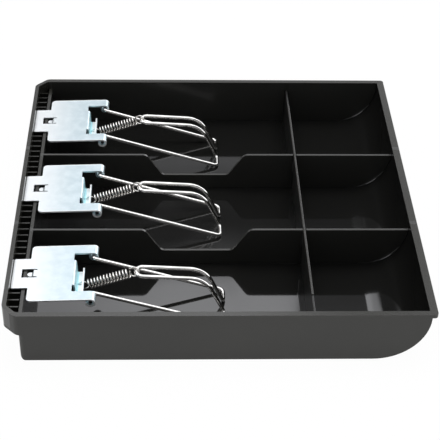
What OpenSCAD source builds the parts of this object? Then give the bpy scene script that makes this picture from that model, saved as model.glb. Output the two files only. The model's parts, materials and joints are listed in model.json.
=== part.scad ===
// Cash drawer insert: a moulded tray with three bill bays and three coin cups, a lift-out coin divider,
// and three sprung wire bails on sheet-metal clips that sit on a ribbed rail.
// Millimetres, +Z up, origin at the middle of the underside. The rail is at -X and the coin cups at +X.

/* [Tray] */
// Length over the clip rail and the coin-side flange
tray_len = 245; // [225:1:300]
// Depth from front to back
tray_depth = 245; // [225:1:300]
// Height of the outer rim
tray_h = 34; // [34:0.5:50]
// Thickness of the front and back walls
wall_t = 3.5; // [2:0.1:5]
// Thickness of the floor
floor_t = 1.8; // [1.2:0.1:3]
// Outer radius of the round coin end
scoop_r = 30.8; // [24:0.2:33]
// Thickness of the round coin end at its top
end_t = 1.2; // [0.8:0.1:2]
// Overhang of the coin-side flange
flange_w = 3.3; // [1:0.1:5]
// Thickness of the coin-side flange
flange_t = 2.5; // [1.5:0.1:4]
// Corner radius of the coin-side flange
flange_r = 2; // [0.5:0.1:2.4]
// Drop from the rim to the tops of the inner walls
inner_drop = 5.4; // [3:0.1:8]
// Radius of the edges under the rail
foot_r = 3; // [0.5:0.1:3.4]

/* [Dividers] */
// Thickness of the two long dividers
divider_t = 1.6; // [1.2:0.1:3]
// Clear width of the middle bill bay
middle_bay_w = 76.8; // [68:0.2:82]
// Width of a finger cut-out at the divider top
cut_top_w = 64.5; // [50:0.5:80]
// Width of the flat bottom of a finger cut-out
cut_floor_w = 44; // [30:0.5:48]
// Depth of a finger cut-out
cut_depth = 16; // [8:0.5:18]
// Distance from the seat wall to the middle of a finger cut-out
cut_from_seat = 99.7; // [85:0.5:110]
// Corner radius of a finger cut-out
cut_r = 4.5; // [1:0.5:6]
// Thickness of the lift-out coin divider
coin_plate_t = 1.4; // [1.2:0.1:3]
// Clear length of the coin cups
cup_len = 63.5; // [50:0.5:75]
// Length of the lower ends of the coin divider
coin_step_len = 20; // [8:0.5:30]
// Depth of the lower ends of the coin divider
coin_step = 0.8; // [0.4:0.1:2]

/* [Clip rail] */
// Overhang of the rail outside the seat wall
rail_w = 9; // [8:0.1:14]
// Height of the rail
rail_h = 14.5; // [10:0.5:18]
// Thickness of the rail's outer wall
rail_wall_t = 2.5; // [1.5:0.1:3]
// Thickness of the seat wall that carries the clips
seat_wall_t = 2; // [1.4:0.1:3]
// Size of the cut corners of the rail
rail_corner = 8; // [5:0.5:8]
// Radius that softens the cut corners of the rail
rail_r = 5; // [1:0.5:6]
// Thickness of a rail rib
rib_t = 0.9; // [0.6:0.1:1.5]
// Spacing of the rail ribs
rib_pitch = 5.83; // [4:0.01:10]
// Drop from the seat wall's top to the rib tops
rib_drop = 0.6; // [0.4:0.1:3]

/* [Clip plate] */
// Thickness of the sheet metal
sheet_t = 1; // [0.8:0.05:1.2]
// Length of the plate from its shoulder to the outside of its knuckles
plate_len = 39.3; // [36:0.1:48]
// Width of the plate
plate_w = 48.5; // [46:0.1:56]
// Distance of the plate's shoulder from the seat wall
plate_gap = 1.5; // [0.8:0.1:3]
// Corner radius of the plate
plate_r = 2.5; // [1:0.1:4]
// Width of the tab that lies over the rail
tab_w = 25.7; // [16:0.1:32]
// Corner radius of the tab
tab_r = 0.8; // [0.3:0.1:2]
// Width of each knuckle prong
prong_w = 7.45; // [5:0.05:8.5]
// Depth of the notch between the prongs
notch_depth = 14; // [13:0.1:18]
// Tilt of the clip, coin end up
clip_tilt = 1.8; // [0:0.1:3]
// Length of the lance window
lance_len = 8.9; // [8:0.1:10]
// Width of the lance window
lance_w = 7.4; // [6:0.1:10]
// Length of the lance's root, level with the plate
lance_root = 2; // [1:0.1:2.4]
// Step from the lance's root down to its tip
lance_drop = 1; // [0.6:0.1:1.2]
// Shift of the front clip from the middle of its bay
front_clip_shift = -1.5; // [-5:0.1:5]
// Shift of the middle clip from the middle of its bay
middle_clip_shift = 1; // [-5:0.1:5]
// Shift of the back clip from the middle of its bay
back_clip_shift = -2.5; // [-5:0.1:5]

/* [Spring tongue] */
// Width of the tongue that holds the spring
tongue_w = 22; // [12:0.5:24]
// Distance from the bail pivot back to the lip of the tongue
anchor_back = 5.7; // [5.2:0.1:6.4]
// Distance from the bail pivot down to the middle of the spring's loop
anchor_down = 7.6; // [6.6:0.1:8.8]
// Height of the lip above the middle of the spring's loop
lip_above = 4.1; // [3.8:0.1:5]
// Height of the lip above the bottom of the tongue
lip_h = 3.1; // [2.4:0.1:3.6]
// Inner bend radius of the sheet
bend_r = 0.6; // [0.3:0.1:1]

/* [Bail wire] */
// Diameter of the bail wire
wire_d = 2.3; // [1.8:0.1:2.4]
// Length of the bail's arms from the pivot to the crossbar
arm_len = 81; // [70:0.2:84]
// Bend radius where the arms leave the pins
pin_bend_r = 1.6; // [1.3:0.1:2]
// Bend radius of the crossbar's corners
corner_r = 2.6; // [1.5:0.1:4]
// Half the spacing of the two handle legs
leg_half = 4.3; // [3.5:0.1:5]
// Distance of the handle's knee along the arms
knee_along = 62.4; // [54:0.2:66]
// Height of the handle's knee above the arms
knee_up = 20.7; // [15:0.1:24]
// Bend radius of the handle's knee
knee_r = 16; // [6:0.5:18]
// Distance of the handle's end loop along the arms
loop_along = 23.2; // [22:0.1:24]
// Height of the handle's end loop above the arms
loop_up = 10.5; // [8:0.1:12]

/* [Spring] */
// Diameter of the spring wire
spring_d = 0.9; // [0.6:0.05:1]
// Outer diameter of the coils and of the end loops
spring_od = 6.2; // [5.9:0.1:6.6]
// Number of coils
coils = 13; // [8:1:13]
// Length from the last coil to the middle of an end loop
hook_len = 3; // [2.8:0.1:3.6]
// Lean of the handle-side end loop out of the upright
loop_lean = 30; // [0:5:45]

/* [Clearances] */
// Radial play of the bail's pins in their rolled knuckles
pin_play = 0.7; // [0.1:0.05:0.8]
// Gap beside the bail's arms in the notch
arm_fit = 0.1; // [0.05:0.01:0.1]
// Gap of each slip fit between the dividers
slip_fit = 0.3; // [0.2:0.05:0.5]
// Gap between the tab and the rail's outer wall
tab_fit = 0.3; // [0.2:0.05:0.6]
// Gap between the crossbar and the floor
rest_gap = 0.3; // [0.2:0.05:1]
// Gap between the bail and its spring's end loop
hook_fit = 0.1; // [0.05:0.05:0.2]
// Play of the spring loop in the tongue's two holes
hole_play = 0.4; // [0.3:0.05:0.5]

/* [Hidden] */
overlap = 0.5;
left_x = -tray_len / 2;
right_x = tray_len / 2;
half_depth = tray_depth / 2;
seat_x = left_x + rail_w;
bay_x = seat_x + seat_wall_t;
scoop_x = right_x - flange_w - scoop_r;
scoop_in_r = scoop_r - floor_t;
scoop_in_x = scoop_x + floor_t - end_t;
inner_z = tray_h - inner_drop;
half_inside = half_depth - wall_t;
divider_y = (middle_bay_w + divider_t) / 2;
outer_bay_y = (half_inside + divider_y + divider_t / 2) / 2;
clip_ys = [-outer_bay_y + front_clip_shift, middle_clip_shift, outer_bay_y + back_clip_shift];
coin_x = scoop_in_x + scoop_in_r - cup_len - coin_plate_t / 2;
lap_z = (floor_t + inner_z) / 2;
cut_x = bay_x + cut_from_seat;

wire_r = wire_d / 2;
bore_r = wire_r + pin_play;
knuckle_r = bore_r + sheet_t;
plate_x = seat_wall_t + plate_gap;
pivot_x = plate_x + plate_len - knuckle_r;
pivot_z = sheet_t - knuckle_r;
notch_x = plate_x + plate_len - notch_depth;
notch_half = plate_w / 2 - prong_w;
tab_x = -(rail_w - rail_wall_t - tab_fit);
anchor_x = pivot_x - anchor_back;
anchor_z = pivot_z - anchor_down;
coil_r = (spring_od - spring_d) / 2;
hole_r = spring_d / 2 + hole_play;

// A point of the clip, given from its seat, as [x, z] of the tray
function clip_point(x, z) = [
    seat_x + x * cos(clip_tilt) - z * sin(clip_tilt),
    inner_z + x * sin(clip_tilt) + z * cos(clip_tilt)
];
pivot = clip_point(pivot_x, pivot_z);
anchor = clip_point(anchor_x, anchor_z);

// The bail lies at the angle that puts its crossbar just above the floor
bail_drop = asin((pivot[1] - floor_t - wire_r - rest_gap) / arm_len);
arm_y = notch_half - pin_bend_r - arm_fit;
pin_end_y = plate_w / 2 - sheet_t;
handle_end = [
    pivot[0] + loop_along * cos(bail_drop) + loop_up * sin(bail_drop),
    pivot[1] - loop_along * sin(bail_drop) + loop_up * cos(bail_drop)
];

// The spring runs from the lip to a loop that the handle's end bears on
spring_run = handle_end - anchor;
spring_angle = atan2(spring_run[1], spring_run[0]);
spring_len = norm(spring_run) - (coil_r - spring_d / 2 - wire_r - hook_fit);
coil_pitch = (spring_len - 2 * hook_len) / coils;
curl_rings = 8;
loop_rings = 18;
hook_rings = 4;
hook_turn = 60;
start_turn = 180 + 90;
end_turn = 90 - loop_lean;
body_turn = 360 * coils + end_turn - start_turn - 2 * hook_turn + 360;

echo(pivot = pivot, anchor = anchor, bail_drop = bail_drop, spring_angle = spring_angle);
echo(clip_ys = clip_ys, coin_x = coin_x, seat_x = seat_x, handle_end = handle_end);

// Outlines with rounded corners
function unit(v) = v / norm(v);
function turn_of(a, b) = acos(max(-1, min(1, a * b)));

// The points that replace one corner: an arc of radius r that touches both sides
function corner(before, at, after, r, steps) =
    let (
        u = unit(before - at),
        v = unit(after - at),
        half = turn_of(u, v) / 2,
        reach = r / tan(half),
        middle = at + unit(u + v) * r / sin(half),
        from = at + u * reach - middle,
        to = at + v * reach - middle,
        sweep = turn_of(from / r, to / r)
    )
    r == 0 ? [at] : [
        for (i = [0:steps])
            middle + (from * sin(sweep * (1 - i / steps)) + to * sin(sweep * i / steps)) / sin(sweep)
    ];

// A closed outline of [x, y, radius] corners
function rounded(corners, steps = 6) = [
    for (i = [0:len(corners) - 1])
        let (
            n = len(corners),
            a = corners[(i + n - 1) % n],
            b = corners[i],
            c = corners[(i + 1) % n]
        )
        each corner([a[0], a[1]], [b[0], b[1]], [c[0], c[1]], b[2], steps)
];

// A run of points with an arc of the given radius at each inner one
function bent(run, radii, steps) = [
    let (last = len(run) - 1)
    for (i = [0:last])
        each i == 0 || i == last
            ? [run[i]]
            : corner(run[i - 1], run[i], run[i + 1], radii[i], steps)
];

// Tray
module outer_body() {
    linear_extrude(tray_h)
        polygon(rounded([
            [seat_x, -half_depth, foot_r], [scoop_x, -half_depth, 0],
            [scoop_x, half_depth, 0], [seat_x, half_depth, foot_r]
        ]));
    intersection() {
        translate([scoop_x, half_depth, scoop_r])
            rotate([90, 0, 0])
                cylinder(r = scoop_r, h = tray_depth, $fn = 120);
        translate([scoop_x - overlap, -half_depth, 0])
            cube([scoop_r + overlap, tray_depth, scoop_r]);
    }
    translate([scoop_x - overlap, -half_depth, scoop_r])
        cube([scoop_r + overlap, tray_depth, tray_h - scoop_r]);
}

module inner_hollow() {
    translate([bay_x, -half_inside, floor_t])
        cube([scoop_in_x - bay_x, 2 * half_inside, tray_h]);
    intersection() {
        translate([scoop_in_x, half_inside, scoop_r])
            rotate([90, 0, 0])
                cylinder(r = scoop_in_r, h = 2 * half_inside, $fn = 120);
        translate([scoop_in_x - overlap, -half_inside, 0])
            cube([scoop_r + overlap, 2 * half_inside, scoop_r]);
    }
    translate([scoop_in_x - overlap, -half_inside, scoop_r])
        cube([scoop_in_r + overlap, 2 * half_inside, tray_h]);
}

module rail_outline(inset_x, inset_y, cut, r) {
    x = left_x + inset_x;
    y = half_depth - inset_y;
    end_x = seat_x + rail_w;
    polygon(rounded([
        [end_x, -y, 0], [x + cut, -y, r], [x, cut - y, r],
        [x, y - cut, r], [x + cut, y, r], [end_x, y, 0]
    ]));
}

module rail_block() {
    translate([0, 0, tray_h - rail_h])
        linear_extrude(rail_h)
            rail_outline(0, 0, rail_corner, rail_r);
}

module rail_channel() {
    channel_cut = max(0.5, rail_corner + rail_wall_t * (sqrt(2) - 1) - wall_t);
    intersection() {
        translate([0, 0, tray_h - rail_h + floor_t])
            linear_extrude(tray_h)
                rail_outline(rail_wall_t, wall_t, channel_cut, rail_r / 2);
        translate([left_x, -half_depth, 0])
            cube([rail_w, tray_depth, 2 * tray_h]);
    }
    translate([seat_x - overlap, -half_inside, inner_z])
        cube([seat_wall_t + 2 * overlap, 2 * half_inside, tray_h]);
}

module rail_ribs() {
    count = 2 * floor(half_inside / rib_pitch) - 1;
    rib_x = left_x + rail_wall_t / 2;
    rib_z = tray_h - rail_h + floor_t / 2;
    rib_len = seat_x + seat_wall_t / 2 - rib_x;
    intersection() {
        for (i = [0:count])
            translate([rib_x, (i - count / 2) * rib_pitch - rib_t / 2, rib_z])
                cube([rib_len, rib_t, inner_z - rib_drop - rib_z]);
        rail_block();
    }
}

module coin_flange() {
    difference() {
        translate([0, 0, tray_h - flange_t])
            linear_extrude(flange_t)
                polygon(rounded([
                    [scoop_x, -half_depth, 0], [right_x, -half_depth, flange_r],
                    [right_x, half_depth, flange_r], [scoop_x, half_depth, 0]
                ]));
        inner_hollow();
    }
}

// The edge under the rail, rounded along the whole depth
module foot_cutter() {
    difference() {
        translate([seat_x - overlap, -half_depth - overlap, -overlap])
            cube([foot_r + overlap, tray_depth + 2 * overlap, foot_r + overlap]);
        translate([seat_x + foot_r, half_depth + 2 * overlap, foot_r])
            rotate([90, 0, 0])
                cylinder(r = foot_r, h = tray_depth + 4 * overlap, $fn = 48);
    }
}

module finger_cut() {
    above = 10;
    rotate([90, 0, 0])
        linear_extrude(2 * divider_t, center = true)
            polygon(rounded([
                [cut_x - cut_top_w / 2 - cut_r, inner_z, 0],
                [cut_x - cut_top_w / 2, inner_z, cut_r],
                [cut_x - cut_floor_w / 2, inner_z - cut_depth, cut_r],
                [cut_x + cut_floor_w / 2, inner_z - cut_depth, cut_r],
                [cut_x + cut_top_w / 2, inner_z, cut_r],
                [cut_x + cut_top_w / 2 + cut_r, inner_z, 0],
                [cut_x + cut_top_w / 2 + cut_r, inner_z + above, 0],
                [cut_x - cut_top_w / 2 - cut_r, inner_z + above, 0]
            ]));
}

module long_divider() {
    slot_w = coin_plate_t + 2 * slip_fit;
    difference() {
        translate([seat_x + seat_wall_t / 2, -divider_t / 2, floor_t / 2])
            cube([tray_len, divider_t, inner_z - floor_t / 2]);
        finger_cut();
        translate([coin_x - slot_w / 2, -divider_t, lap_z])
            cube([slot_w, 2 * divider_t, tray_h]);
    }
}

module tray() {
    color([0.11, 0.11, 0.11]) {
        difference() {
            union() {
                outer_body();
                rail_block();
            }
            inner_hollow();
            rail_channel();
            foot_cutter();
        }
        coin_flange();
        rail_ribs();
        intersection() {
            for (y = [-divider_y, divider_y])
                translate([0, y, 0])
                    long_divider();
            outer_body();
        }
    }
}

// Lift-out coin divider, lapped over the two long dividers
module coin_divider() {
    half_len = half_inside - slip_fit;
    slot_w = divider_t + 2 * slip_fit;
    color([0.13, 0.13, 0.13])
        difference() {
            translate([coin_x - coin_plate_t / 2, -half_len, floor_t])
                cube([coin_plate_t, 2 * half_len, inner_z - floor_t]);
            for (y = [-divider_y, divider_y])
                translate([coin_x - coin_plate_t, y - slot_w / 2, -overlap])
                    cube([2 * coin_plate_t, slot_w, lap_z + slip_fit + overlap]);
            for (side = [-1, 1])
                translate([coin_x, side * (half_len - coin_step_len / 2 + overlap / 2), inner_z])
                    cube([2 * coin_plate_t, coin_step_len + overlap, 2 * coin_step], center = true);
        }
}

// Clip plate, drawn from its seat: x along the plate, z = 0 on the seat wall
module at_clip(i) {
    translate([seat_x, clip_ys[i], inner_z])
        rotate([0, -clip_tilt, 0])
            children();
}

module plate_sheet() {
    tab_half = tab_w / 2;
    half = plate_w / 2;
    window_x = plate_x + lance_len / 2;
    lance_x = window_x - lance_len;
    difference() {
        linear_extrude(sheet_t)
            polygon(rounded([
                [tab_x, -tab_half, tab_r], [plate_x, -tab_half, bend_r], [plate_x, -half, plate_r],
                [pivot_x, -half, 0], [pivot_x, -notch_half, 0], [notch_x, -notch_half, bend_r],
                [notch_x, notch_half, bend_r], [pivot_x, notch_half, 0], [pivot_x, half, 0],
                [plate_x, half, plate_r], [plate_x, tab_half, bend_r], [tab_x, tab_half, tab_r]
            ]));
        translate([lance_x, -lance_w / 2, -overlap])
            cube([lance_len, lance_w, sheet_t + 2 * overlap]);
    }
    // Lance: a tongue stepped down to a level round tip that catches behind the seat wall
    lance_reach = window_x - seat_wall_t - tab_fit;
    step_x = -lance_root - lance_drop;
    step_t = sheet_t * tan(45 / 2);
    root_half = lance_w * 0.38;
    tip_half = lance_w * 0.24;
    translate([window_x, 0, 0])
        intersection() {
            translate([0, 0, -lance_drop])
                linear_extrude(lance_drop + sheet_t)
                    polygon(rounded([
                        [overlap, -root_half, 0], [overlap, root_half, 0], [-lance_root, root_half, 0],
                        [step_x, tip_half, 0], [-lance_reach, tip_half, tip_half * 0.9],
                        [-lance_reach, -tip_half, tip_half * 0.9], [step_x, -tip_half, 0],
                        [-lance_root, -root_half, 0]
                    ]));
            rotate([90, 0, 0])
                linear_extrude(lance_w, center = true)
                    polygon([
                        [overlap, 0], [overlap, sheet_t], [-lance_root, sheet_t],
                        [step_x, sheet_t - lance_drop], [-lance_reach - overlap, sheet_t - lance_drop],
                        [-lance_reach - overlap, -lance_drop], [step_x + step_t, -lance_drop],
                        [step_t - lance_root, 0]
                    ]);
        }
}

module spring_tongue() {
    wall_x = notch_x + bend_r + sheet_t;
    lip_x = anchor_x - sheet_t / 2;
    lip_z = anchor_z + lip_above;
    bottom_z = lip_z - lip_h;
    outer_r = bend_r + sheet_t;
    loop_rise = bottom_z - sheet_t / 2 - anchor_z;
    loop_back = sqrt(coil_r * coil_r - loop_rise * loop_rise);
    difference() {
        translate([0, tongue_w / 2, 0])
            rotate([90, 0, 0])
                linear_extrude(tongue_w)
                    polygon(rounded([
                        [notch_x - overlap, sheet_t, 0], [wall_x, sheet_t, outer_r],
                        [wall_x, bottom_z, bend_r], [lip_x, bottom_z, bend_r],
                        [lip_x, lip_z, 0], [lip_x + sheet_t, lip_z, 0],
                        [lip_x + sheet_t, bottom_z - sheet_t, outer_r],
                        [wall_x - sheet_t, bottom_z - sheet_t, outer_r],
                        [wall_x - sheet_t, 0, bend_r], [notch_x - overlap, 0, 0]
                    ]));
        // The spring's loop goes through the lip and back down through the bottom
        translate([lip_x - overlap, 0, anchor_z + coil_r])
            rotate([0, 90, 0])
                cylinder(r = hole_r, h = sheet_t + 2 * overlap, $fn = 32);
        translate([anchor_x - loop_back, 0, bottom_z - sheet_t - overlap])
            cylinder(r = hole_r, h = sheet_t + 2 * overlap, $fn = 32);
    }
}

// Knuckle: the prong's end rolled three quarters round the bail's pin
module knuckle() {
    rotate([90, 0, 0])
        difference() {
            cylinder(r = knuckle_r, h = prong_w, center = true, $fn = 64);
            cylinder(r = bore_r, h = prong_w + 2 * overlap, center = true, $fn = 64);
            translate([-2 * knuckle_r, 0, -prong_w])
                cube([2 * knuckle_r, 2 * knuckle_r, 2 * prong_w]);
        }
}

module clip_plate(i) {
    color([0.8, 0.85, 0.9])
        at_clip(i) {
            plate_sheet();
            spring_tongue();
            for (side = [-1, 1])
                translate([pivot_x, side * (plate_w - prong_w) / 2, pivot_z])
                    knuckle();
        }
}

// A round wire along a run of points
module tube(path, d, sides) {
    n = len(path);
    along = [for (i = [0:n - 1]) unit(path[min(i + 1, n - 1)] - path[max(i - 1, 0)])];
    first = unit(cross(along[0], [0.3, 0.5, 0.8]));
    across = [
        for (i = 0, v = first; i < n;
             v = i + 1 < n ? unit(v - along[i + 1] * (v * along[i + 1])) : v, i = i + 1) v
    ];
    points = [
        for (i = [0:n - 1])
            for (k = [0:sides - 1])
                let (a = 360 * k / sides)
                path[i] + (across[i] * cos(a) + cross(along[i], across[i]) * sin(a)) * d / 2
    ];
    skin = [
        for (i = [0:n - 2])
            for (k = [0:sides - 1])
                let (
                    p = i * sides + k,
                    q = i * sides + (k + 1) % sides
                )
                each [[p, p + sides, q], [q, p + sides, q + sides]]
    ];
    caps = [
        for (k = [1:sides - 2])
            each [
                [0, k, k + 1],
                [(n - 1) * sides, (n - 1) * sides + k + 1, (n - 1) * sides + k]
            ]
    ];
    polyhedron(points = points, faces = concat(skin, caps));
}

// Bail: one length of wire from pin to pin, round the crossbar and out to the sprung handle
module bail(i) {
    half_run = [
        [0, -pin_end_y, 0], [0, -arm_y, 0], [arm_len, -arm_y, 0],
        [arm_len, -leg_half, 0], [knee_along, -leg_half, knee_up], [loop_along, -leg_half, loop_up]
    ];
    half_radii = [0, pin_bend_r, corner_r, corner_r, knee_r, leg_half * 0.99];
    last = len(half_run) - 1;
    run = [each half_run, for (k = [last:-1:0]) [half_run[k][0], -half_run[k][1], half_run[k][2]]];
    radii = [each half_radii, for (k = [last:-1:0]) half_radii[k]];
    color([0.86, 0.87, 0.88])
        translate([pivot[0], clip_ys[i], pivot[1]])
            rotate([0, bail_drop, 0])
                tube(bent(run, radii, 6), wire_d, 12);
}

// Spring: one wire, drawn along +X from the middle of its lip-side loop
function ring_dir(turn) = [0, cos(turn), sin(turn)];

// The end loop as far as its free tail, from the tail inwards; side is -1 at the lip and 1 at the handle
function end_loop(middle, turn, side) = [
    [middle - side * coil_r, 0, 0] + ring_dir(turn) * spring_d,
    [middle - side * coil_r, 0, 0] + ring_dir(turn) * spring_d / 2,
    for (k = [0:loop_rings])
        let (a = -180 + 270 * k / loop_rings)
        [middle + side * coil_r * cos(a), 0, 0] + ring_dir(turn) * coil_r * sin(a)
];

// The bend from the last coil into an end loop, from the loop inwards
function hook_bend(middle, turn, side) = [
    for (k = [1:hook_rings])
        let (
            s = 1 - k / hook_rings,
            lead = coil_pitch * hook_turn / 180 * s,
            rest = (hook_len - coil_pitch * hook_turn / 180) * s * s
        )
        [middle - side * (hook_len - lead - rest), 0, 0]
            + ring_dir(turn - side * hook_turn * (1 - s) * (1 - s)) * coil_r
];

function reversed(list) = [for (k = [len(list) - 1:-1:0]) list[k]];

body_rings = round(body_turn / 360 * curl_rings);
spring_path = [
    each end_loop(0, start_turn, -1),
    each hook_bend(0, start_turn, -1),
    for (k = [1:body_rings - 1])
        [hook_len + (spring_len - 2 * hook_len) * k / body_rings, 0, 0]
            + ring_dir(start_turn + hook_turn + body_turn * k / body_rings) * coil_r,
    each reversed(hook_bend(spring_len, end_turn, 1)),
    each reversed(end_loop(spring_len, end_turn, 1))
];

// Least gap between parts of the spring that are not neighbours along the wire
near_rings = 6;
spring_gap = min([
    for (a = [0:len(spring_path) - 1 - near_rings])
        for (b = [a + near_rings:len(spring_path) - 1])
            norm(spring_path[a] - spring_path[b])
]) - spring_d;
echo(least_spring_gap = spring_gap, coil_pitch = coil_pitch, spring_len = spring_len);

module spring(i) {
    color([0.75, 0.74, 0.7])
        translate([anchor[0], clip_ys[i], anchor[1]])
            rotate([0, -spring_angle, 0])
                tube(spring_path, spring_d, 6);
}

tray();
coin_divider();
clip_plate(0);  // clip_plate_front
clip_plate(1);  // clip_plate_middle
clip_plate(2);  // clip_plate_back
bail(0);  // bail_front
bail(1);  // bail_middle
bail(2);  // bail_back
spring(0);  // spring_front
spring(1);  // spring_middle
spring(2);  // spring_back
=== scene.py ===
import json
import math

import bmesh
import bpy
import numpy as np
from mathutils import Matrix, Vector

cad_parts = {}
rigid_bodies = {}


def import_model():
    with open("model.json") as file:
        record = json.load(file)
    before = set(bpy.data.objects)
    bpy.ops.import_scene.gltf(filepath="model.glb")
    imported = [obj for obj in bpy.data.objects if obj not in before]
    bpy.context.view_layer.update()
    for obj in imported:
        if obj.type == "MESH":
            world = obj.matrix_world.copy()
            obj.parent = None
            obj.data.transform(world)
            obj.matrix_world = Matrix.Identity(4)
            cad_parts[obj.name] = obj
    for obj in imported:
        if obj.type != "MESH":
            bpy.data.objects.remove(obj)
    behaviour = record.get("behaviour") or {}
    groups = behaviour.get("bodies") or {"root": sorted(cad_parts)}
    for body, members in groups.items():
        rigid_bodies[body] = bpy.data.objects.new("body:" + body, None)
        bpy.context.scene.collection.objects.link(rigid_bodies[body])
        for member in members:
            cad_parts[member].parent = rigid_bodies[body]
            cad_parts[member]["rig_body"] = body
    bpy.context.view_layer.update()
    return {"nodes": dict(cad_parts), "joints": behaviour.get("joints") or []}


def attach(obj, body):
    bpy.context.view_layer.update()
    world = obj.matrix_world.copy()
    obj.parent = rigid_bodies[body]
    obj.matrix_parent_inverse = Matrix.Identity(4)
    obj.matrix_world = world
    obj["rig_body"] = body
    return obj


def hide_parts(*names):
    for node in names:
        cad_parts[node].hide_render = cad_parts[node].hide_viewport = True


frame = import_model()
scene = bpy.context.scene
scene.view_settings.view_transform = "Standard"

# Camera: the viewpoint of the photograph, fitted to the rim, divider and clip corners.
# It looks down on the insert from its near side, a little left of the middle.
eye = Vector((-0.02688, -0.64137, 0.51502))
look_down, turn_right, tip = math.radians(38.475), math.radians(2.740), math.radians(1.690)
focal_length, picture_width, sensor = 1267.955, 440, 36
ahead = Vector((
    math.sin(turn_right) * math.cos(look_down),
    math.cos(turn_right) * math.cos(look_down),
    -math.sin(look_down),
))
level = Vector((math.cos(turn_right), -math.sin(turn_right), 0))
upright = level.cross(ahead)
right = level * math.cos(tip) + upright * math.sin(tip)
above = upright * math.cos(tip) - level * math.sin(tip)
camera = bpy.data.objects.new("camera", bpy.data.cameras.new("camera"))
camera.data.sensor_width = sensor
camera.data.lens = sensor * focal_length / picture_width
camera.data.clip_start, camera.data.clip_end = 0.02, 20
camera.matrix_world = Matrix((
    (right.x, above.x, -ahead.x, eye.x),
    (right.y, above.y, -ahead.y, eye.y),
    (right.z, above.z, -ahead.z, eye.z),
    (0, 0, 0, 1),
))
scene.collection.objects.link(camera)
scene.camera = camera

# Tray: one injection moulding in black ABS, with floor, outer walls, long dividers, rounded coin end and clip rail.
# The mould is polished inside, so the bays mirror what is above them, and finely textured outside.
inner_top, rim_top = 0.0286, 0.034
floor_top, half_inside = 0.0018, 0.119
bay_left, cup_right, rail_floor = -0.1115, 0.1180, 0.0213
divider_y, coin_x = 0.0392, 0.0538
scoop_x, scoop_z, scoop_near = 0.0890, 0.0308, 0.0287
tray_edge = 0.00035


class Signal:
    """One output of a material's nodes; arithmetic on it adds Math nodes to the same tree."""

    def __init__(self, tree, socket=None):
        self.tree, self.socket = tree, socket

    def add(self, kind, settings=None, inputs=None, output=0):
        """A node of that type: its settings first, then the value or link of each input named or numbered."""
        node = self.tree.nodes.new(kind)
        for name, value in (settings or {}).items():
            setattr(node, name, value)
        for name, value in (inputs or {}).items():
            if isinstance(value, Signal):
                self.tree.links.new(value.socket, node.inputs[name])
            else:
                node.inputs[name].default_value = value
        return Signal(self.tree, node.outputs[output])

    def outputs(self, *names):
        """Other outputs of the node that this signal comes from."""
        return [Signal(self.tree, self.socket.node.outputs[name]) for name in names]

    def math(self, operation, *values):
        return self.add("ShaderNodeMath", {"operation": operation}, dict(enumerate((self, *values))))

    def __add__(self, other):
        return self.math("ADD", other)

    def __sub__(self, other):
        return self.math("SUBTRACT", other)

    def __rsub__(self, other):
        return self * -1 + other

    def __mul__(self, other):
        return self.math("MULTIPLY", other)

    def __truediv__(self, other):
        return self.math("DIVIDE", other)

    def __abs__(self):
        return self.math("ABSOLUTE")

    def __gt__(self, other):
        return self.math("GREATER_THAN", other)

    def __lt__(self, other):
        return self.math("LESS_THAN", other)

    __radd__, __rmul__ = __add__, __mul__

    def between(self, low, high):
        return (self > low) * (self < high)

    def ramp(self, low, high):
        """0 below low, 1 above high and a smooth step between."""
        return self.add(
            "ShaderNodeMapRange",
            {"interpolation_type": "SMOOTHSTEP"},
            {"Value": self, "From Min": low, "From Max": high},
        )

    def mixed(self, first, second):
        """The first colour where this signal is 0, the second where it is 1."""
        return self.add("ShaderNodeMix", {"data_type": "RGBA"}, {0: self, 6: first, 7: second}, 2)

    def noise(self, place, scale, detail=2.0, roughness=0.5):
        return self.add(
            "ShaderNodeTexNoise",
            None,
            {"Vector": place, "Scale": scale, "Detail": detail, "Roughness": roughness},
        )

    def bump(self, height, distance, strength=1.0):
        return self.add("ShaderNodeBump", None, {"Height": height, "Distance": distance, "Strength": strength})


def new_finish(name):
    """A material with its node tree as a Signal, its shader and the place on the object in metres."""
    material = bpy.data.materials.new(name)
    material.use_nodes = True
    net = Signal(material.node_tree)
    shader = material.node_tree.nodes["Principled BSDF"]
    place = net.add("ShaderNodeTexCoord", output="Object")
    return material, net, shader, place


def feed(shader, **signals):
    """Links each signal to the shader's socket of that name, with _ for a space."""
    for name, signal in signals.items():
        signal.tree.links.new(signal.socket, shader.inputs[name.replace("_", " ")])


def softened(node, edge, steps):
    """A copy of a CAD node that stands for it, its sharp edges rounded to radius edge as a mould or die leaves them.
    Flat faces keep their own normals, so that only the rounding and the curved walls are shaded round."""
    weld, flat, sharp = 2e-6, math.radians(0.5), math.radians(40)
    mesh = frame["nodes"][node].data.copy()
    mesh.materials.clear()
    build = bmesh.new()
    build.from_mesh(mesh)
    bmesh.ops.remove_doubles(build, verts=build.verts, dist=weld)
    bmesh.ops.dissolve_limit(build, angle_limit=flat, verts=build.verts, edges=build.edges)
    build.to_mesh(mesh)
    build.free()
    mesh.shade_smooth()
    piece = bpy.data.objects.new(node + "_shown", mesh)
    scene.collection.objects.link(piece)
    bevel = piece.modifiers.new("rounded edges", "BEVEL")
    bevel.width, bevel.segments = edge, steps
    bevel.limit_method, bevel.angle_limit = "ANGLE", sharp
    flats = piece.modifiers.new("true flats", "WEIGHTED_NORMAL")
    flats.mode, flats.weight, flats.keep_sharp = "FACE_AREA", 100, True
    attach(piece, frame["nodes"][node]["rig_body"])
    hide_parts(node)
    return piece


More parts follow.
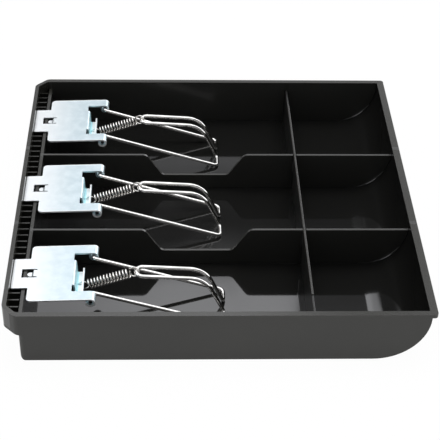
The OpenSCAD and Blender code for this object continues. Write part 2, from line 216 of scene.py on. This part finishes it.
def black_plastic(name):
    """Black ABS: floors and scoops polished like a mirror, satin walls and tops, a fine spark texture outside.
    The long dividers' tops are painted palest, a painted highlight for the line of light along them.
    The inner walls are painted lighter than the outside, painted fill light against the shade in the bays.
    The coin divider's faces are duller and blacker than the tray."""
    slack, divider_reach = 0.0002, 0.0016
    material, net, shader, place = new_finish(name)
    x, y, z = net.add("ShaderNodeSeparateXYZ", None, {0: place}).outputs(0, 1, 2)
    inside = (
        (abs(y) < half_inside + slack)
        * x.between(bay_left - slack, cup_right + 2 * slack)
        * z.between(floor_top - 3 * slack, rim_top - 2 * slack)
    )
    on_divider = abs(abs(y) - divider_y) < divider_reach
    on_coin_divider = abs(x - coin_x) < divider_reach
    divider_top = (z > inner_top - tray_edge - slack / 2) * (on_divider + on_coin_divider > 0.5)
    long_top = divider_top * on_divider * (1 - on_coin_divider)
    inner_wall = inside * (1 - divider_top)
    coin_face = inner_wall * on_coin_divider
    in_rail = (x < bay_left) * (abs(y) < half_inside) * (z > rail_floor)
    satin = inside + in_rail + (z > rim_top - 2 * slack) > 0.5
    scoop_dx, scoop_dz = x - scoop_x, z - scoop_z
    on_scoop = (scoop_dx > 0) * (scoop_dx * scoop_dx + scoop_dz * scoop_dz > scoop_near ** 2)
    polished = inside * (on_scoop + (z < floor_top + 2 * slack) > 0.5)
    grain = net.noise(place, 3200, 3, 0.6)
    flow = net.noise(place, 14, 3, 0.5)
    smear = net.noise(place, 90, 4, 0.6)
    walls_rough = 0.43 + 0.08 * grain + 0.05 * smear - satin * (1 - 0.6 * coin_face) * (0.26 + 0.04 * grain)
    floor_rough = 0.04 + 0.04 * flow.ramp(0.40, 0.70) + 0.02 * smear
    feed(
        shader,
        Base_Color=polished.mixed(
            inner_wall.mixed(
                # painted highlight: the long dividers' tops get a paler colour than the rest of the outside
                long_top.mixed(
                    flow.ramp(0.3, 0.7).mixed((0.0200, 0.0197, 0.0164, 1), (0.0232, 0.0229, 0.0191, 1)),
                    (0.0440, 0.0440, 0.0415, 1),
                ),
                # painted fill light: the inner walls get a lighter colour than the outside, against the shade in the
                # bays; the coin divider's faces are blacker
                coin_face.mixed((0.0290, 0.0290, 0.0262, 1), (0.0110, 0.0110, 0.0100, 1)),
            ),
            (0.0072, 0.0072, 0.0067, 1),
        ),
        Roughness=walls_rough + polished * (floor_rough - walls_rough),
        Normal=net.bump(grain * (1 - satin) + 0.15 * flow * polished, 0.00004, 0.6),
    )
    shader.inputs["IOR"].default_value = 1.54
    return material


tray = softened("tray", tray_edge, 3)
tray.data.materials.append(black_plastic("black_abs"))

# Coin divider: a flat strip of the same plastic, slotted from below and dropped over the two long dividers.
# It stands between the bill bays and the coin cups, and lifts straight out.
coin_divider = softened("coin_divider", tray_edge, 3)
coin_divider.data.materials.append(tray.data.materials[0])

# Cup fillets: the hollow corners that the mould leaves where the scoops of the coin cups turn up along their walls.
# They are one with the tray, run out to nothing at both ends, and each catches a thin line of light.
fillet_radius, fillet_sink = 0.0014, 0.0001
fillet_from, fillet_to = math.radians(16), math.radians(60)
scoop_radius, divider_half = 0.0290, 0.0008
cup_walls = (
    (-half_inside, 1), (-divider_y - divider_half, -1), (-divider_y + divider_half, 1),
    (divider_y - divider_half, -1), (divider_y + divider_half, 1), (half_inside, -1),
)


def closed_skin(name, rings):
    """A closed skin over a row of equal rings of points: each ring is joined to the next and both ends are filled."""
    count, sides = rings.shape[:2]
    first = np.arange(count - 1)[:, None] * sides
    side = np.arange(sides)
    after = (side + 1) % sides
    quads = np.stack([first + side, first + after, first + after + sides, first + side + sides], axis=-1)
    last = (count - 1) * sides
    mesh = bpy.data.meshes.new(name)
    mesh.from_pydata(
        rings.reshape(-1, 3), [], [*quads.reshape(-1, 4).tolist(), side[::-1].tolist(), (last + side).tolist()]
    )
    mesh.shade_smooth()
    mesh.set_sharp_from_angle(angle=math.radians(40))
    piece = bpy.data.objects.new(name, mesh)
    scene.collection.objects.link(piece)
    return piece


def cup_fillet(name, wall_y, facing):
    """A hollow quarter round along one cup wall. Its path climbs the scoop by x = c + R sin t, z = h - R cos t, and
    its radius r swells and runs out as half a sine. At each point it goes from r out on the scoop to r up the wall,
    by r - r sin a out and r - r cos a up, and is closed by two sides sunk in the plastic."""
    run_out = 0.05
    climb = np.linspace(fillet_from, fillet_to, 48)
    path = np.stack([
        scoop_x + scoop_radius * np.sin(climb), np.full_like(climb, wall_y), scoop_z - scoop_radius * np.cos(climb),
    ], axis=-1)
    up = np.stack([-np.sin(climb), np.zeros_like(climb), np.cos(climb)], axis=-1)
    radius = fillet_radius * np.sin(np.linspace(run_out, math.pi - run_out, len(climb)))[:, None]
    sunk = np.full_like(radius, -fillet_sink)
    swing = np.linspace(0, math.pi / 2, 11)
    out_by = np.concatenate([radius * (1 - np.sin(swing)), sunk, sunk, radius], axis=1)[:, :, None]
    up_by = np.concatenate([radius * (1 - np.cos(swing)), radius, sunk, sunk], axis=1)[:, :, None]
    rings = path[:, None] + up[:, None] * up_by + out_by * (0, facing, 0)
    return closed_skin(name, rings[:, ::facing])


for number, (wall_y, facing) in enumerate(cup_walls, 1):
    fillet = cup_fillet(f"cup_fillet_{number}", wall_y, facing)
    fillet.data.materials.append(tray.data.materials[0])
    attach(fillet, "tray")

# Clip plates: pressed from bright zinc-plated steel sheet, a tab over the rail and a lance stepped down behind it.
# Two prongs are rolled into knuckles for the bail, and the tongue between them is bent down and up for the spring.
clip_places = ("front", "middle", "back")
clip_ys, plate_half, plate_edge = (-0.0810, 0.0010, 0.0770), 0.02425, 0.0003
tab_left, tab_whitening_length = -0.1200, 0.0340
bend_from, bend_to, bend_top = -0.0846, -0.0821, 0.0301
lip_side = -0.0788


def zinc_sheet(name):
    """Bright zinc with the faint blue of its passivation, a cloudy spangle and fine rolling lines along the sheet.
    It is whiter towards the tab. The sheared sides and the tongue are duller and painted whitish, a painted
    highlight, and the bend is painted cyan, a painted reflection."""
    side_depth, fade = 0.0004, 0.0010
    material, net, shader, place = new_finish(name)
    x, y, z = net.add("ShaderNodeSeparateXYZ", None, {0: place}).outputs(0, 1, 2)
    front, middle, back = [abs(abs(y - clip_y) - plate_half) < side_depth for clip_y in clip_ys]
    sheared = front + middle + back > 0.5
    # the plate is whiter towards the tab
    whiter_to_tab = 1 - x.ramp(tab_left, tab_left + tab_whitening_length)
    tongue = x.between(bend_from, lip_side) * (1 - z.ramp(bend_top - fade, bend_top))
    bend = tongue * (1 - x.ramp(bend_to, bend_to + 0.4 * fade))
    cloud = net.noise(place, 160, 4, 0.55)
    spangle = net.add("ShaderNodeTexVoronoi", {"feature": "F1"}, {"Vector": place, "Scale": 420.0})
    stretched = net.add("ShaderNodeMapping", None, {"Vector": place, "Scale": (40, 2600, 40)})
    rolling = net.noise(stretched, 1, 2, 0.5)
    feed(
        shader,
        # painted reflection: the bend is painted cyan; painted highlight: the tongue and sheared sides are painted
        # whitish and made mostly non-metallic
        Base_Color=bend.mixed(
            whiter_to_tab.math("MAXIMUM", sheared).math("MAXIMUM", tongue).mixed(
                cloud.ramp(0.3, 0.75).mixed((0.54, 0.64, 0.675, 1), (0.655, 0.745, 0.775, 1)),
                (0.86, 0.88, 0.88, 1),
            ),
            (0.56, 0.89, 0.95, 1),
        ),
        Metallic=1 - (0.9 * sheared).math("MAXIMUM", 0.7 * tongue),
        Roughness=0.27 + 0.12 * cloud + 0.05 * rolling,
        Normal=net.bump(0.6 * rolling + 0.4 * spangle, 0.00002, 0.5),
    )
    return material


plate_finish = zinc_sheet("zinc_plate")
for place_name in clip_places:
    plate = softened("clip_plate_" + place_name, plate_edge, 3)
    plate.data.materials.append(plate_finish)

# Bails: each is one length of chromed spring wire, its ends turned out as pins in the clip's knuckles.
# Two arms run down to the bay floor, turn in at the crossbar, rise as the handle's legs and join in an end loop.
wire_radius = 0.00115
arm_length, arm_half = 0.0810, 0.0151
pin_end, leg_half = 0.02325, 0.0043
knee, end_loop = (0.0624, 0.0207), (0.0232, 0.0105)
bend_radii = (0.0016, 0.0026, 0.0026, 0.016, 0.00426)
rest_gap = 0.0003
hinges = {joint["name"]: joint for joint in frame["joints"]}


def bent_run(corners, radii, steps):
    """A path through the corners with an arc of the given radius at each inner one.
    On an arc the point is the middle plus the start and end spokes weighted by sines, which turns evenly between."""
    run = [corners[:1]]
    for before, at, after, radius in zip(corners[:-2], corners[1:-1], corners[2:], radii):
        back = (before - at) / np.linalg.norm(before - at)
        on = (after - at) / np.linalg.norm(after - at)
        half = math.acos(np.clip(back @ on, -1, 1)) / 2
        middle = at + (back + on) / np.linalg.norm(back + on) * radius / math.sin(half)
        start = at + back * radius / math.tan(half) - middle
        end = at + on * radius / math.tan(half) - middle
        sweep = math.pi - 2 * half
        share = np.linspace(0, 1, steps)[:, None]
        run.append(middle + (start * np.sin(sweep * (1 - share)) + end * np.sin(sweep * share)) / math.sin(sweep))
    return np.concatenate([*run, corners[-1:]])


def swept_wire(name, path, facing, radius, sides):
    """A closed round wire: at each path point a ring of radius r, p + r (n cos a + b sin a), where n is the facing
    direction made square to the path and b is square to both. The cut ends are drawn in by a small chamfer."""
    chamfer, end_share = radius * 0.25, 0.72
    along = np.gradient(path, axis=0)
    along /= np.linalg.norm(along, axis=1)[:, None]
    lead, tail = path[:1] - along[:1] * chamfer, path[-1:] + along[-1:] * chamfer
    path = np.concatenate([lead, path, tail])
    along = np.concatenate([along[:1], along, along[-1:]])
    facing = np.concatenate([facing[:1], facing, facing[-1:]])
    normal = facing - along * np.sum(facing * along, axis=1)[:, None]
    normal /= np.linalg.norm(normal, axis=1)[:, None]
    across = np.cross(along, normal)
    reach = np.full(len(path), radius)
    reach[[0, -1]] = radius * end_share
    turn = np.linspace(0, 2 * math.pi, sides, endpoint=False)
    ring = normal[:, None] * np.cos(turn)[:, None] + across[:, None] * np.sin(turn)[:, None]
    return closed_skin(name, path[:, None] + ring * reach[:, None, None])


def chromed_wire(name):
    """Bright chrome on drawn wire: near mirror, with a little draw-mark haze.
    The cut ends of the pins are bare and rough, and painted nearly black as a painted shade for the dark bore they
    sit in."""
    material, net, shader, place = new_finish(name)
    y = net.add("ShaderNodeSeparateXYZ", None, {0: place}).outputs(1)[0]
    front, middle, back = [abs(abs(y - clip_y) - pin_end) < wire_radius / 3 for clip_y in clip_ys]
    cut = front + middle + back > 0.5
    haze = net.noise(place, 240, 4, 0.6)
    marks = net.noise(place, 2400, 2, 0.5)
    feed(
        shader,
        # painted shade: the pins' cut ends are painted nearly black
        Base_Color=cut.mixed(
            haze.ramp(0.35, 0.7).mixed((0.87, 0.855, 0.825, 1), (0.95, 0.935, 0.905, 1)), (0.07, 0.07, 0.075, 1)
        ),
        Roughness=0.04 + 0.05 * haze + 0.4 * cut,
        Normal=net.bump(marks, 0.000012, 0.4),
    )
    shader.inputs["Metallic"].default_value = 1
    return material


bail_finish = chromed_wire("chrome_wire")
half_bail = np.array([
    (0, -pin_end, 0), (0, -arm_half, 0), (arm_length, -arm_half, 0),
    (arm_length, -leg_half, 0), (knee[0], -leg_half, knee[1]), (end_loop[0], -leg_half, end_loop[1]),
])
bail_corners = np.concatenate([half_bail, half_bail[::-1] * (1, -1, 1)])
bail_path = bent_run(bail_corners, (*bend_radii, *bend_radii[::-1]), 14)
pivot_height = hinges["bail_hinge_middle"]["pos_m"][2]
drop = math.asin((pivot_height - floor_top - wire_radius - rest_gap) / arm_length)
lie_down = np.array([
    (math.cos(drop), 0, math.sin(drop)), (0, 1, 0), (-math.sin(drop), 0, math.cos(drop)),
])
steady_lean = math.radians(75)
steady = np.tile((math.cos(steady_lean), 0, math.sin(steady_lean)), (len(bail_path), 1))
for place_name in clip_places:
    pivot = np.array(hinges["bail_hinge_" + place_name]["pos_m"])
    bail = swept_wire(
        "bail_" + place_name + "_shown", bail_path @ lie_down.T + pivot, steady @ lie_down.T, wire_radius, 20
    )
    bail.data.materials.append(bail_finish)
    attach(bail, "bail_" + place_name)
    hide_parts("bail_" + place_name)

# Springs: extension springs of bright wire, hooked through the tongue of the clip and round the handle's end loop.
# Each end loop is the last turn of the coil bent out square, so the pull stays on the spring's own line.
spring_wire, coil_radius = 0.00045, 0.00265
coil_count, hook_length, hook_turn = 13, 0.003, math.radians(60)
hook_fit, loop_lean = 0.0001, math.radians(30)


def spoke(turn):
    """Unit directions square to the spring's axis, which is +X."""
    return np.stack([np.zeros_like(turn), np.cos(turn), np.sin(turn)], axis=-1)


def spring_end(turn, pitch, side):
    """The hook at one end, from its free tail in to the coil, with its loop's middle at x = 0.
    The loop is three quarters of a circle in the plane of the axis and the spoke; the bend slows its turn by a square
    while its advance along the axis grows by a square, so it leaves the coil and meets the loop smoothly."""
    axis = np.array((1.0, 0, 0))
    out = spoke(np.array(turn))
    tail = np.linspace(2 * spring_wire, 0, 4, endpoint=False)[:, None]
    tail_points = -side * axis * coil_radius + out * tail
    tail_facing = np.tile(-side * axis, (len(tail), 1))
    swing = np.linspace(-math.pi, math.pi / 2, 37)[:, None]
    loop_facing = side * axis * np.cos(swing) + out * np.sin(swing)
    share = np.linspace(1, 0, 14)[1:, None]
    lead = pitch * hook_turn / math.pi * share
    advance = hook_length - lead - (hook_length - pitch * hook_turn / math.pi) * share ** 2
    bend_facing = spoke(turn - side * hook_turn * (1 - share[:, 0]) ** 2)
    bend_points = -side * axis * advance + bend_facing * coil_radius
    return (
        np.concatenate([tail_points, loop_facing * coil_radius, bend_points]),
        np.concatenate([tail_facing, loop_facing, bend_facing]),
    )


def spring_run(length):
    """The whole spring along +X: lip hook, coil and handle hook, with the outward direction at each point.
    The coil is x = hook + s L, turned by s times its whole turn at the coil radius."""
    pitch = (length - 2 * hook_length) / coil_count
    start_turn, end_turn = 1.5 * math.pi, math.pi / 2 - loop_lean
    whole = 2 * math.pi * (coil_count + 1) + end_turn - start_turn - 2 * hook_turn
    lip_points, lip_facing = spring_end(start_turn, pitch, -1)
    far_points, far_facing = spring_end(end_turn, pitch, 1)
    share = np.linspace(0, 1, coil_count * 28)[1:-1]
    coil_facing = spoke(start_turn + hook_turn + whole * share)
    along = hook_length + (length - 2 * hook_length) * share
    coil_points = coil_facing * coil_radius + along[:, None] * (1, 0, 0)
    return (
        np.concatenate([lip_points, coil_points, far_points[::-1] + (length, 0, 0)]),
        np.concatenate([lip_facing, coil_facing, far_facing[::-1]]),
    )


def bright_wire(name):
    """Nickel-bright spring wire, a little warm, with drawing lines and tempering haze."""
    material, net, shader, place = new_finish(name)
    haze = net.noise(place, 500, 3, 0.6)
    feed(
        shader,
        Base_Color=haze.ramp(0.3, 0.7).mixed((0.88, 0.855, 0.81, 1), (0.96, 0.94, 0.905, 1)),
        Roughness=0.16 + 0.1 * haze,
        Normal=net.bump(haze, 0.00001, 0.4),
    )
    shader.inputs["Metallic"].default_value = 1
    return material


spring_finish = bright_wire("nickel_wire")
handle_end = np.array((end_loop[0], 0, end_loop[1])) @ lie_down.T
for place_name in clip_places:
    anchor = np.array(hinges["spring_swing_" + place_name]["pos_m"])
    pull = np.array(hinges["bail_hinge_" + place_name]["pos_m"]) + handle_end - anchor
    span = np.linalg.norm(pull)
    tilt = np.array([(pull[0], 0, -pull[2]), (0, span, 0), (pull[2], 0, pull[0])]) / span
    points, facing = spring_run(span - (coil_radius - spring_wire - wire_radius - hook_fit))
    spring = swept_wire("spring_" + place_name + "_shown", points @ tilt.T + anchor, facing @ tilt.T, spring_wire, 10)
    spring.data.materials.append(spring_finish)
    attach(spring, "spring_" + place_name)
    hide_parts("spring_" + place_name)

# Floor: a plain white sheet under the insert.
# It is white to the eye and in reflections, and takes a faint shadow.
sheet, under = 3, -0.0002
floor_mesh = bpy.data.meshes.new("floor")
floor_mesh.from_pydata(
    [(-sheet, -sheet, under), (sheet, -sheet, under), (sheet, sheet, under), (-sheet, sheet, under)],
    [],
    [(0, 1, 2, 3)],
)
floor = bpy.data.objects.new("floor", floor_mesh)
scene.collection.objects.link(floor)
paper, paper_net, paper_shader, _ = new_finish("white_paper")
paper.node_tree.nodes.remove(paper_shader)
to_eye, glossy, through = paper_net.add("ShaderNodeLightPath").outputs(
    "Is Camera Ray", "Is Glossy Ray", "Is Transmission Ray"
)
diffuse = paper_net.add("ShaderNodeBsdfDiffuse", None, {"Color": (0.82, 0.82, 0.82, 1)})
glow = paper_net.add("ShaderNodeEmission", None, {"Color": (1, 1, 1, 1), "Strength": 1.0})
shown = paper_net.add(
    "ShaderNodeMixShader", None, {0: 0.975 * to_eye + 0.9 * glossy.math("MAXIMUM", through), 1: diffuse, 2: glow}
)
paper_net.tree.links.new(shown.socket, paper.node_tree.nodes["Material Output"].inputs["Surface"])
floor_mesh.materials.append(paper)

# Studio: a dim room with a pale horizon and ceiling, a softbox and a white panel beyond the insert, a window at left.
# The polished bay floors mirror the softbox, the gap below it and the panel. The eye sees plain white instead.
world = bpy.data.worlds.new("studio")
scene.world = world
world.use_nodes = True
sky = Signal(world.node_tree)
direction = sky.add("ShaderNodeTexCoord", output="Generated")
dx, dy, dz = sky.add("ShaderNodeSeparateXYZ", None, {0: direction}).outputs(0, 1, 2)
beyond = dy > 0.02
across, rise = dx / dy, dz / dy
softbox = (
    across.ramp(-0.43, -0.41) * (1 - across.ramp(0.134, 0.137))
    * rise.ramp(0.860, 0.872) * (1 - rise.ramp(1.45, 1.6))
)
panel = across.ramp(-0.35, -0.25) * (1 - rise.ramp(0.735, 0.755))
aside, side_rise = dy / dx, dz / dx
window = (dx < -0.02) * (1 - abs(aside).ramp(0.33, 0.38)) * side_rise.between(-1.11, -0.60)
far_side = dy.ramp(-0.3, 0.1)
room = (
    0.05 + far_side * (0.03 + 0.28 * dz.ramp(0.63, 0.69))
    + 0.5 * (1 - dz.ramp(0.24, 0.42)) + 1.25 * dz.ramp(0.72, 0.90)
)
strength = room + 2.3 * window + beyond * (
    softbox * (2.2 + 0.8 * across.ramp(-0.15, 0.02)) + panel * (0.7 + 0.7 * across.ramp(0.25, 0.45))
    + 0.9 * across.ramp(0.21, 0.32)
)
seen = sky.add("ShaderNodeLightPath", output="Is Camera Ray")
backdrop = world.node_tree.nodes["Background"]
sky.tree.links.new((strength + seen * (1 - strength)).socket, backdrop.inputs["Strength"])
backdrop.inputs["Color"].default_value = (0.965, 0.97, 1.0, 1)

lamp = bpy.data.objects.new("overhead", bpy.data.lights.new("overhead", "AREA"))
lamp.data.shape, lamp.data.size, lamp.data.size_y = "RECTANGLE", 1.2, 0.6
lamp.data.energy = 9
lamp.visible_glossy = False
lamp.matrix_world = Matrix.Translation((0.1, 0.25, 1.3)) @ Matrix.Rotation(math.radians(-11), 4, "X")
scene.collection.objects.link(lamp)
